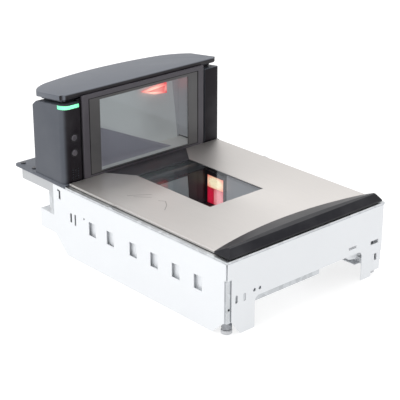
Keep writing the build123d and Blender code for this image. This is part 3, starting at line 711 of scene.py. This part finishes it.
def mirror_face(name, colour, rough=0.3, metal=0.3, lit=0.0):
    """A mirror plate with a film of dust and slow tint changes, and a faint painted glow that stands
    in for light falling inside.
    """
    material, tree = new_material(name)
    place = tree.nodes.new("ShaderNodeTexCoord")
    place.label = "Place on the mirror"
    place.location = (-900, 0)
    film = tree.nodes.new("ShaderNodeTexNoise")
    film.label = "Coating tint"
    film.location = (-700, 160)
    film.inputs["Scale"].default_value = 8
    film.inputs["Detail"].default_value = 2
    tone = tree.nodes.new("ShaderNodeMix")
    tone.label = "Mirror colour"
    tone.location = (-460, 160)
    tone.data_type = "RGBA"
    tone.inputs["A"].default_value = (*[c * 0.9 for c in colour], 1)
    tone.inputs["B"].default_value = (*colour, 1)
    dust = tree.nodes.new("ShaderNodeTexNoise")
    dust.label = "Dust film"
    dust.location = (-700, -120)
    dust.inputs["Scale"].default_value = 70
    dust.inputs["Detail"].default_value = 8
    gloss = tree.nodes.new("ShaderNodeMapRange")
    gloss.label = "Roughness under the dust"
    gloss.location = (-460, -120)
    gloss.inputs["To Min"].default_value = rough
    gloss.inputs["To Max"].default_value = rough + 0.12
    surface = tree.nodes.new("ShaderNodeBsdfPrincipled")
    surface.label = "Mirror"
    surface.location = (-180, 60)
    # Painted light: the plate glows in its own colour, standing in for light that falls inside the
    # scanner.
    surface.inputs["Emission Strength"].default_value = lit
    surface.inputs["Metallic"].default_value = metal
    output = tree.nodes.new("ShaderNodeOutputMaterial")
    output.label = "Surface"
    output.location = (120, 60)
    framed(tree, "Tint", (film, tone))
    framed(tree, "Dust", (dust, gloss))
    tree.links.new(place.outputs["Object"], film.inputs["Vector"])
    tree.links.new(place.outputs["Object"], dust.inputs["Vector"])
    tree.links.new(film.outputs["Fac"], tone.inputs["Factor"])
    tree.links.new(dust.outputs["Fac"], gloss.inputs["Value"])
    tree.links.new(tone.outputs["Result"], surface.inputs["Base Color"])
    tree.links.new(tone.outputs["Result"], surface.inputs["Emission Color"])
    tree.links.new(gloss.outputs["Result"], surface.inputs["Roughness"])
    tree.links.new(surface.outputs["BSDF"], output.inputs["Surface"])
    return material


def circuit_board(name):
    """Green solder mask with fine traces and pads of solder."""
    material, tree = new_material(name)
    place = tree.nodes.new("ShaderNodeTexCoord")
    place.label = "Place on the board"
    place.location = (-1100, 0)
    traces = tree.nodes.new("ShaderNodeTexBrick")
    traces.label = "Copper traces"
    traces.location = (-880, 200)
    traces.inputs["Scale"].default_value = 90
    traces.inputs["Mortar Size"].default_value = 0.03
    traces.inputs["Color1"].default_value = (0.012, 0.11, 0.05, 1)
    traces.inputs["Color2"].default_value = (0.010, 0.09, 0.045, 1)
    traces.inputs["Mortar"].default_value = (0.05, 0.24, 0.12, 1)
    pads = tree.nodes.new("ShaderNodeTexVoronoi")
    pads.label = "Solder pads"
    pads.location = (-880, -160)
    pads.inputs["Scale"].default_value = 260
    dot = tree.nodes.new("ShaderNodeMath")
    dot.label = "Inside a pad"
    dot.location = (-660, -160)
    dot.operation = "LESS_THAN"
    dot.inputs[1].default_value = 0.16
    colour = tree.nodes.new("ShaderNodeMix")
    colour.label = "Mask or solder"
    colour.location = (-440, 100)
    colour.data_type = "RGBA"
    colour.inputs["B"].default_value = (0.62, 0.62, 0.58, 1)
    surface = tree.nodes.new("ShaderNodeBsdfPrincipled")
    surface.label = "Circuit board"
    surface.location = (-180, 60)
    surface.inputs["Roughness"].default_value = 0.32
    output = tree.nodes.new("ShaderNodeOutputMaterial")
    output.label = "Surface"
    output.location = (120, 60)
    framed(tree, "Solder", (pads, dot, colour))
    tree.links.new(place.outputs["Object"], traces.inputs["Vector"])
    tree.links.new(place.outputs["Object"], pads.inputs["Vector"])
    tree.links.new(pads.outputs["Distance"], dot.inputs[0])
    tree.links.new(dot.outputs["Value"], colour.inputs["Factor"])
    tree.links.new(dot.outputs["Value"], surface.inputs["Metallic"])
    tree.links.new(traces.outputs["Color"], colour.inputs["A"])
    tree.links.new(colour.outputs["Result"], surface.inputs["Base Color"])
    tree.links.new(surface.outputs["BSDF"], output.inputs["Surface"])
    return material


# ---------------------------------------------------------------- operators
class SCANNER_OT_enclosure(bpy.types.Operator):
    """Finish the lower enclosure's sheets, brackets and sockets"""

    bl_idname = "scanner.enclosure"
    bl_label = "Finish the Enclosure"

    def execute(self, context):
        colours = context.scene.scanner_colours
        coat = powder_coat("white_powder_coat", colours.enclosure)
        bright = zinc("bright_zinc", colours.zinc)
        for node in ("side_plate_left", "side_plate_right", "front_plate", "rear_wall",
                     "connector_box", "jack_bracket_front_right"):
            finish_node(node, coat)
        # Painted light: the bottom pan, seen in shade through the side slots, wears the white coat
        # made 1.18 times lighter.
        lit_pan_coat = powder_coat("pan_powder_coat_painted_light", [1.18 * c for c in colours.enclosure])
        finish_node("bottom_pan", lit_pan_coat)
        tray_coat = powder_coat("grey_powder_coat", [0.6 * c for c in colours.enclosure])
        finish_node("rear_tray", tray_coat)
        for node in ("rim_frame", "load_cell_mount", "cable_duct", "socket_panel",
                     "jack_bracket_front_left", "jack_bracket_rear_left",
                     "jack_bracket_rear_right"):
            finish_node(node, bright)
        socket = moulded_plastic("socket_plastic", (0.02, 0.02, 0.022), rough=0.45)
        for node in ("power_socket", "data_sockets", "speaker"):
            finish_node(node, socket)
        board = circuit_board("board_green")
        for node in ("main_board", "button_board", "socket_board", "lower_camera", "tower_camera"):
            finish_node(node, board)
        return {"FINISHED"}


class SCANNER_OT_jacks(bpy.types.Operator):
    """Finish the levelling jacks"""

    bl_idname = "scanner.jacks"
    bl_label = "Finish the Levelling Jacks"

    def execute(self, context):
        stud = zinc("dark_zinc", (0.30, 0.31, 0.33), 400, 0.3)
        foot = moulded_plastic("foot_nylon", (0.55, 0.56, 0.58), rough=0.5)
        for corner in CORNERS:
            screw = copy_of(f"jack_screw_{corner}", f"levelling_stud_{corner}")
            bevel_all(screw, 0.3 * MM, 2)
            stand_for(screw, f"jack_screw_{corner}", stud)
            finish_node(f"jack_foot_{corner}", foot)
        return {"FINISHED"}


class SCANNER_OT_tower(bpy.types.Operator):
    """Finish the tower's ends, bonnet, frame and buttons"""

    bl_idname = "scanner.tower"
    bl_label = "Finish the Tower"

    def execute(self, context):
        colours = context.scene.scanner_colours
        sizes = context.scene.scanner_sizes
        # The slate's front faces are painted darker as shade.
        slate = moulded_plastic("slate_plastic", colours.tower, colours.tower_front_shade, shine=0.22)
        # Painted light: the bonnet and tower base wear the slate plastic made 1.3 times lighter,
        # standing in for the top light on the bonnet.
        lit_lid_tone = [1.3 * c for c in colours.tower]
        lit_lid = moulded_plastic("bonnet_plastic_painted_light", lit_lid_tone, colours.tower_front_shade)
        # Painted sheen: the upright frame wears the trim's black plastic made 2.8 times lighter.
        frame_sheen_tone = [2.8 * c for c in colours.trim]
        frame_sheen_plastic = moulded_plastic("frame_plastic_painted_sheen", frame_sheen_tone, rough=0.38)
        black = moulded_plastic("black_plastic", colours.trim, rough=0.4)
        for node in ("pillar_left", "pillar_right", "bonnet"):
            piece = copy_of(node, f"{node}_moulding")
            bevel_all(piece, sizes.edge, 3)
            stand_for(piece, node, lit_lid if node == "bonnet" else slate)
        for node, plastic in (("tower_base", lit_lid), ("upright_frame", frame_sheen_plastic),
                              ("window_trim", black), ("window_bezel", black)):
            piece = copy_of(node, f"{node}_moulding")
            bevel_all(piece, 0.5 * sizes.edge, 2)
            stand_for(piece, node, plastic)
        for node in ("tower_back_cover", "optics_tub"):
            finish_node(node, black)
        low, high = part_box("window_bezel")
        front = low.y + 2 * HAIR
        bottom = low.z + 2 * MM
        for name, corners in (
            ("left", ((low.x - SEAL_WIDTH, front, bottom), (low.x - HAIR, high.y, SEAL_TOP))),
            ("right", ((high.x + HAIR, front, bottom), (high.x + SEAL_WIDTH, high.y, SEAL_TOP))),
            ("top", ((low.x, front, high.z + HAIR), (high.x, high.y, SEAL_TOP))),
        ):
            seal = add_block(f"gap_seal_{name}", *corners)
            finish_piece(seal, body_of("window_bezel"), black)
        for side, inward in (("left", 1), ("right", -1)):
            low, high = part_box(f"pillar_{side}")
            middle = abs(low.x + high.x) / 2
            seal = add_block(f"bonnet_seal_{side}",
                             (low.x + 4 * HAIR, BONNET_SEAL_FRONT, high.z - 1.6 * MM),
                             (high.x - 4 * HAIR, BONNET_SEAL_BACK, high.z + 0.6 * MM))
            start_editing(seal)
            select_faces(seal, lambda centre, normal: abs(normal.x) > 0.9 and abs(centre.x) > middle)
            bpy.ops.transform.translate(value=(inward * BONNET_SEAL_INSET, 0, 0))
            bpy.ops.object.mode_set(mode="OBJECT")
            finish_piece(seal, body_of("bonnet"), black)
        metal = brushed_metal("button_metal", (0.16, 0.15, 0.17), 0.3, (200, 200, 200), 0.06)
        ring = moulded_plastic("button_ring_plastic", (0.012, 0.012, 0.014), rough=0.3)
        for node in ("upper_button", "lower_button"):
            cap = copy_of(node, f"{node}_cap")
            bevel_all(cap, 0.2 * MM, 2)
            stand_for(cap, node, metal)
            low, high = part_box(node)
            place = ((low.x + high.x) / 2, TOWER_FACE, (low.z + high.z) / 2)
            collar = add_ring(f"{node}_ring", place, RING_RADIUS, RING_THICKNESS)
            finish_piece(collar, body_of("pillar_left"), ring)
        low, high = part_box("light_bar")
        lit_at = (low.x + 14 * MM, low.y + 6 * MM, (low.z + high.z) / 2)
        reach = (26 * MM, 26 * MM, 18 * MM)
        light = glow("status_glow", (0.24, 0.95, 0.50), colours.status_light, lit_at, reach, 0.7)
        finish_node("light_bar", light)
        screw = brushed_metal("screw_metal", (0.16, 0.16, 0.17), 0.35, (120, 120, 120))
        finish_node("base_screws", screw)
        return {"FINISHED"}


class SCANNER_OT_platter(bpy.types.Operator):
    """Finish the weighing parts, the platter and its glass"""

    bl_idname = "scanner.platter"
    bl_label = "Finish the Platter"

    def execute(self, context):
        colours = context.scene.scanner_colours
        sizes = context.scene.scanner_sizes
        steel = brushed_metal("platter_steel", colours.steel, 0.45, (260, 4, 260))
        finish_node("platter", steel)
        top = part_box("platter")[1].z
        etched = brushed_metal("etched_steel", [0.55 * c for c in colours.steel], 0.5, (90, 90, 90))
        for name, start, end in ETCHED_LINES:
            start = Vector(start) * MM
            along = Vector(end) * MM - start
            mark = add_block(f"etched_{name}", (0, -0.5 * sizes.etch, 0),
                             (along.length, 0.5 * sizes.etch, 0.05 * MM))
            mark.rotation_euler.z = math.atan2(along.y, along.x)
            mark.location = (start.x, start.y, top + 0.01 * MM)
            bpy.ops.object.transform_apply(location=True, rotation=True, scale=True)
            finish_piece(mark, body_of("platter"), etched)
        pane = scan_pane("scan_pane", (0.80, 0.82, 0.83))
        for node in ("flat_glass", "upright_glass"):
            finish_node(node, pane)
        low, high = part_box("upright_glass")
        side = sizes.border
        top = 0.25 * sizes.border
        front = low.y - 0.25 * MM
        back = low.y - 0.05 * MM
        printed = join_blocks("pane_border", (
            ((low.x, front, low.z), (low.x + side, back, high.z)),
            ((high.x - side, front, low.z), (high.x, back, high.z)),
            ((low.x + side, front, high.z - top), (high.x - side, back, high.z)),
            ((low.x + side, front, low.z), (high.x - side, back, low.z + 0.5 * top)),
        ))
        line = 0.9 * MM
        front = low.y - 0.55 * MM
        back = low.y - GAP
        gasket = join_blocks("pane_gasket", (
            ((low.x, front, low.z), (low.x + line, back, high.z)),
            ((high.x - line, front, low.z), (high.x, back, high.z)),
            ((low.x + line, front, high.z - line), (high.x - line, back, high.z)),
            ((low.x + line, front, low.z), (high.x - line, back, low.z + line)),
        ))
        soft_black = moulded_plastic(
            "gasket_rubber", (0.006, 0.006, 0.007), rough=0.7, texture=300, shine=0.15)
        finish_piece(gasket, body_of("upright_glass"), soft_black)
        ink = moulded_plastic(
            "border_ink", (0.062, 0.060, 0.062), rough=0.3, texture=1400, shine=0.5)
        finish_piece(printed, body_of("upright_glass"), ink)
        cast = brushed_metal("cast_aluminium", (0.60, 0.61, 0.62), 0.48, (60, 60, 60), 0.3)
        for node in ("scale_deck", "load_cell"):
            finish_node(node, cast)
        rubber = moulded_plastic("pad_rubber", (0.03, 0.03, 0.03), rough=0.8, texture=300)
        finish_node("platter_pads", rubber)
        return {"FINISHED"}


class SCANNER_OT_produce_rail(bpy.types.Operator):
    """Round the edges of the bowed produce rail and finish it"""

    bl_idname = "scanner.produce_rail"
    bl_label = "Finish the Produce Rail"

    def execute(self, context):
        colours = context.scene.scanner_colours
        rail = copy_of("produce_rail", "produce_rail_moulding")
        bevel_all(rail, 1.1 * MM, 4, 12)
        satin = moulded_plastic("rail_plastic", colours.rail, rough=0.34, shine=0.2)
        stand_for(rail, "produce_rail", satin)
        return {"FINISHED"}


class SCANNER_OT_optics(bpy.types.Operator):
    """Finish the mirrors, lenses and lamps behind the two windows"""

    bl_idname = "scanner.optics"
    bl_label = "Finish the Optics"

    def execute(self, context):
        colours = context.scene.scanner_colours
        # Painted light: the mirrors, tower floor and tub liners glow a little, standing in for light
        # inside the windows.
        rear_glass = mirror_face("rear_mirror", (0.70, 0.71, 0.70), lit=0.30)
        finish_node("tower_rear_mirror", rear_glass)
        side_glass = mirror_face("side_mirror", (0.42, 0.42, 0.44), lit=0.22)
        for side in ("left", "right"):
            finish_node(f"tower_side_mirror_{side}", side_glass)
        teal = mirror_face("tub_mirror", (0.36, 0.40, 0.41), lit=0.35)
        for node in ("lower_mirror_back", "lower_mirror_front"):
            finish_node(node, teal)
        low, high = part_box("tower_rear_mirror")
        facet = add_block("tower_fold_mirror", (low.x + MM, FOLD_MIRROR_FRONT, low.z + MM),
                          (high.x - MM, FOLD_MIRROR_BACK, low.z + FOLD_MIRROR_HEIGHT))
        start_editing(facet)
        bpy.ops.mesh.select_all(action="SELECT")
        bpy.ops.mesh.bisect(plane_co=(FOLD_EDGE_X, low.y, FOLD_EDGE_Z), plane_no=FOLD_EDGE_NORMAL,
                            use_fill=True, clear_outer=True)
        bpy.ops.object.mode_set(mode="OBJECT")
        fold_glass = mirror_face("fold_mirror", (0.38, 0.36, 0.41), lit=0.26)
        body = body_of("tower_rear_mirror")
        finish_piece(facet, body, fold_glass)
        floor = add_block("tower_floor_panel", (low.x - 5 * MM, TOWER_FLOOR_FRONT, TOWER_FLOOR_LEVEL),
                          (high.x + 5 * MM, low.y - GAP, TOWER_FLOOR_LEVEL + TOWER_FLOOR_THICKNESS))
        pale = mirror_face("tower_floor", (0.62, 0.62, 0.60), rough=0.5, metal=0.1, lit=0.3)
        finish_piece(floor, body, pale)
        for side, name in ((-1, "left"), (1, "right")):
            x = sorted((side * CLOSER_INNER, side * CLOSER_OUTER))
            closer = add_block(f"mirror_closer_{name}", (x[0], CLOSER_FRONT, low.z + MM),
                               (x[1], CLOSER_BACK, high.z - MM))
            finish_piece(closer, body, side_glass)
        low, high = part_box("optics_tub")
        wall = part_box("lower_light_modules")[1].x
        panel = mirror_face("tub_panel", (0.55, 0.55, 0.58), rough=0.5, metal=0.1, lit=0.3)
        for side, name in ((-1, "left"), (1, "right")):
            x = sorted((side * (wall - GAP - LINER_THICKNESS), side * (wall - GAP)))
            liner = add_block(f"tub_liner_{name}", (x[0], low.y + 12 * MM, low.z + 8 * MM),
                              (x[1], LINER_BACK, high.z - 1.5 * MM))
            finish_piece(liner, body_of("optics_tub"), panel)
        lens = moulded_plastic("lens_coating", (0.012, 0.012, 0.03), rough=0.12, shine=0.9)
        for node in ("lower_lens", "tower_lens"):
            finish_node(node, lens)
        low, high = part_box("tower_light_module")
        red_lamp = glow("tower_lamp", (1.0, 0.62, 0.5), colours.lamp,
                        (low + high) / 2, (high - low) * 0.8, 1.3)
        finish_node("tower_light_module", red_lamp)
        housing = moulded_plastic("lamp_housing", (0.03, 0.008, 0.012), rough=0.5)
        finish_node("lower_light_modules", housing)
        body = body_of("lower_light_modules")
        for name, span, rise, core, rim, strength in LAMP_FACES:
            y = (span[0] * MM, span[1] * MM)
            z = (rise[0] * MM, rise[1] * MM)
            reach = (30 * MM, 0.85 * (y[1] - y[0]), 0.85 * (z[1] - z[0]))
            for side, which in ((-1, "left"), (1, "right")):
                x = sorted((side * (LAMP_WALL - HAIR), side * (LAMP_WALL - 4.5 * HAIR)))
                lit = add_block(f"lamp_{name}_{which}", (x[0], y[0], z[0]), (x[1], y[1], z[1]))
                centre = ((x[0] + x[1]) / 2, (y[0] + y[1]) / 2, (z[0] + z[1]) / 2)
                shine = glow(f"lamp_{name}_{which}", core, rim, centre, reach, strength)
                finish_piece(lit, body, shine)
        return {"FINISHED"}


class SCANNER_OT_stage(bpy.types.Operator):
    """Set the pale floor, the soft studio light and the camera"""

    bl_idname = "scanner.stage"
    bl_label = "Set the Stage"

    def execute(self, context):
        stage = context.scene.scanner_stage
        clear_selection()
        bpy.ops.mesh.primitive_plane_add(size=40, location=(0, 0, 0))
        floor = context.object
        floor.name = "studio_floor"
        paper, tree = new_material("studio_paper")
        place = tree.nodes.new("ShaderNodeTexCoord")
        place.label = "Place on the floor"
        place.location = (-700, 0)
        fibre = tree.nodes.new("ShaderNodeTexNoise")
        fibre.label = "Paper tone"
        fibre.location = (-500, 0)
        fibre.inputs["Scale"].default_value = 3
        tone = tree.nodes.new("ShaderNodeMix")
        tone.label = "Pale paper"
        tone.location = (-300, 0)
        tone.data_type = "RGBA"
        tone.inputs["A"].default_value = (0.36, 0.36, 0.36, 1)
        tone.inputs["B"].default_value = (0.39, 0.39, 0.39, 1)
        surface = tree.nodes.new("ShaderNodeBsdfPrincipled")
        surface.label = "Paper"
        surface.location = (-80, 0)
        surface.inputs["Roughness"].default_value = 0.9
        surface.inputs["Specular IOR Level"].default_value = 0.1
        surface.inputs["Emission Color"].default_value = (1, 1, 1, 1)
        surface.inputs["Emission Strength"].default_value = 0.74
        output = tree.nodes.new("ShaderNodeOutputMaterial")
        output.label = "Surface"
        output.location = (220, 0)
        tree.links.new(place.outputs["Object"], fibre.inputs["Vector"])
        tree.links.new(fibre.outputs["Fac"], tone.inputs["Factor"])
        tree.links.new(tone.outputs["Result"], surface.inputs["Base Color"])
        tree.links.new(surface.outputs["BSDF"], output.inputs["Surface"])
        floor.data.materials.append(paper)
        world = bpy.data.worlds.new("studio_sky")
        world.use_nodes = True
        sky = world.node_tree.nodes["Background"]
        sky.inputs["Color"].default_value = (1.0, 1.0, 1.0, 1)
        sky.inputs["Strength"].default_value = stage.sky
        context.scene.world = world
        for name, place_at, size, power in (
            ("left_softbox", (-1.6, 0.1, 0.9), 1.2, 5.5),
            ("top_softbox", (0.2, 0.5, 1.9), 2.6, 22),
        ):
            bpy.ops.object.light_add(type="AREA", location=place_at)
            lamp = context.object
            lamp.name = name
            lamp.data.shape = "SQUARE"
            lamp.data.size = size
            lamp.data.energy = power
            towards = Vector((0, 0, 0.1)) - Vector(place_at)
            lamp.rotation_euler = towards.to_track_quat("-Z", "Y").to_euler()
        back = Vector((
            math.sin(stage.azimuth) * math.cos(stage.elevation),
            -math.cos(stage.azimuth) * math.cos(stage.elevation),
            math.sin(stage.elevation),
        ))
        bpy.ops.object.camera_add(location=Vector(stage.aim) + back * stage.distance)
        camera = context.object
        camera.name = "studio_camera"
        camera.rotation_euler = (-back).to_track_quat("-Z", "Y").to_euler()
        camera.data.sensor_width = 36
        camera.data.lens = stage.lens
        camera.data.clip_end = 60
        context.scene.camera = camera
        context.scene.view_settings.view_transform = "Standard"
        return {"FINISHED"}


class SCANNER_PT_panel(bpy.types.Panel):
    """Sizes, colours and steps of the scanner's looks"""

    bl_idname = "SCANNER_PT_panel"
    bl_label = "In-Counter Scanner"
    bl_space_type = "VIEW_3D"
    bl_region_type = "UI"
    bl_category = "Scanner"

    def draw(self, context):
        for group in (context.scene.scanner_colours, context.scene.scanner_sizes,
                      context.scene.scanner_stage):
            box = self.layout.box()
            for name in group.bl_rna.properties.keys():
                if name not in ("rna_type", "name"):
                    box.prop(group, name)
        for step in STEPS:
            self.layout.operator(step.bl_idname)


STEPS = (
    SCANNER_OT_enclosure,
    SCANNER_OT_jacks,
    SCANNER_OT_tower,
    SCANNER_OT_platter,
    SCANNER_OT_produce_rail,
    SCANNER_OT_optics,
    SCANNER_OT_stage,
)
CLASSES = (ScannerColours, ScannerSizes, ScannerStage, *STEPS, SCANNER_PT_panel)


def register():
    """Register the classes and hang the settings on the scene."""
    for item in CLASSES:
        bpy.utils.register_class(item)
    bpy.types.Scene.scanner_colours = bpy.props.PointerProperty(type=ScannerColours)
    bpy.types.Scene.scanner_sizes = bpy.props.PointerProperty(type=ScannerSizes)
    bpy.types.Scene.scanner_stage = bpy.props.PointerProperty(type=ScannerStage)


def unregister():
    """Take the settings and classes away again."""
    del bpy.types.Scene.scanner_stage
    del bpy.types.Scene.scanner_sizes
    del bpy.types.Scene.scanner_colours
    for item in reversed(CLASSES):
        bpy.utils.unregister_class(item)


def main():
    """Run every step in order."""
    register()
    bpy.ops.scanner.enclosure()
    bpy.ops.scanner.jacks()
    bpy.ops.scanner.tower()
    bpy.ops.scanner.platter()
    bpy.ops.scanner.produce_rail()
    bpy.ops.scanner.optics()
    bpy.ops.scanner.stage()
    bpy.context.view_layer.update()


if __name__ == "__main__":
    main()
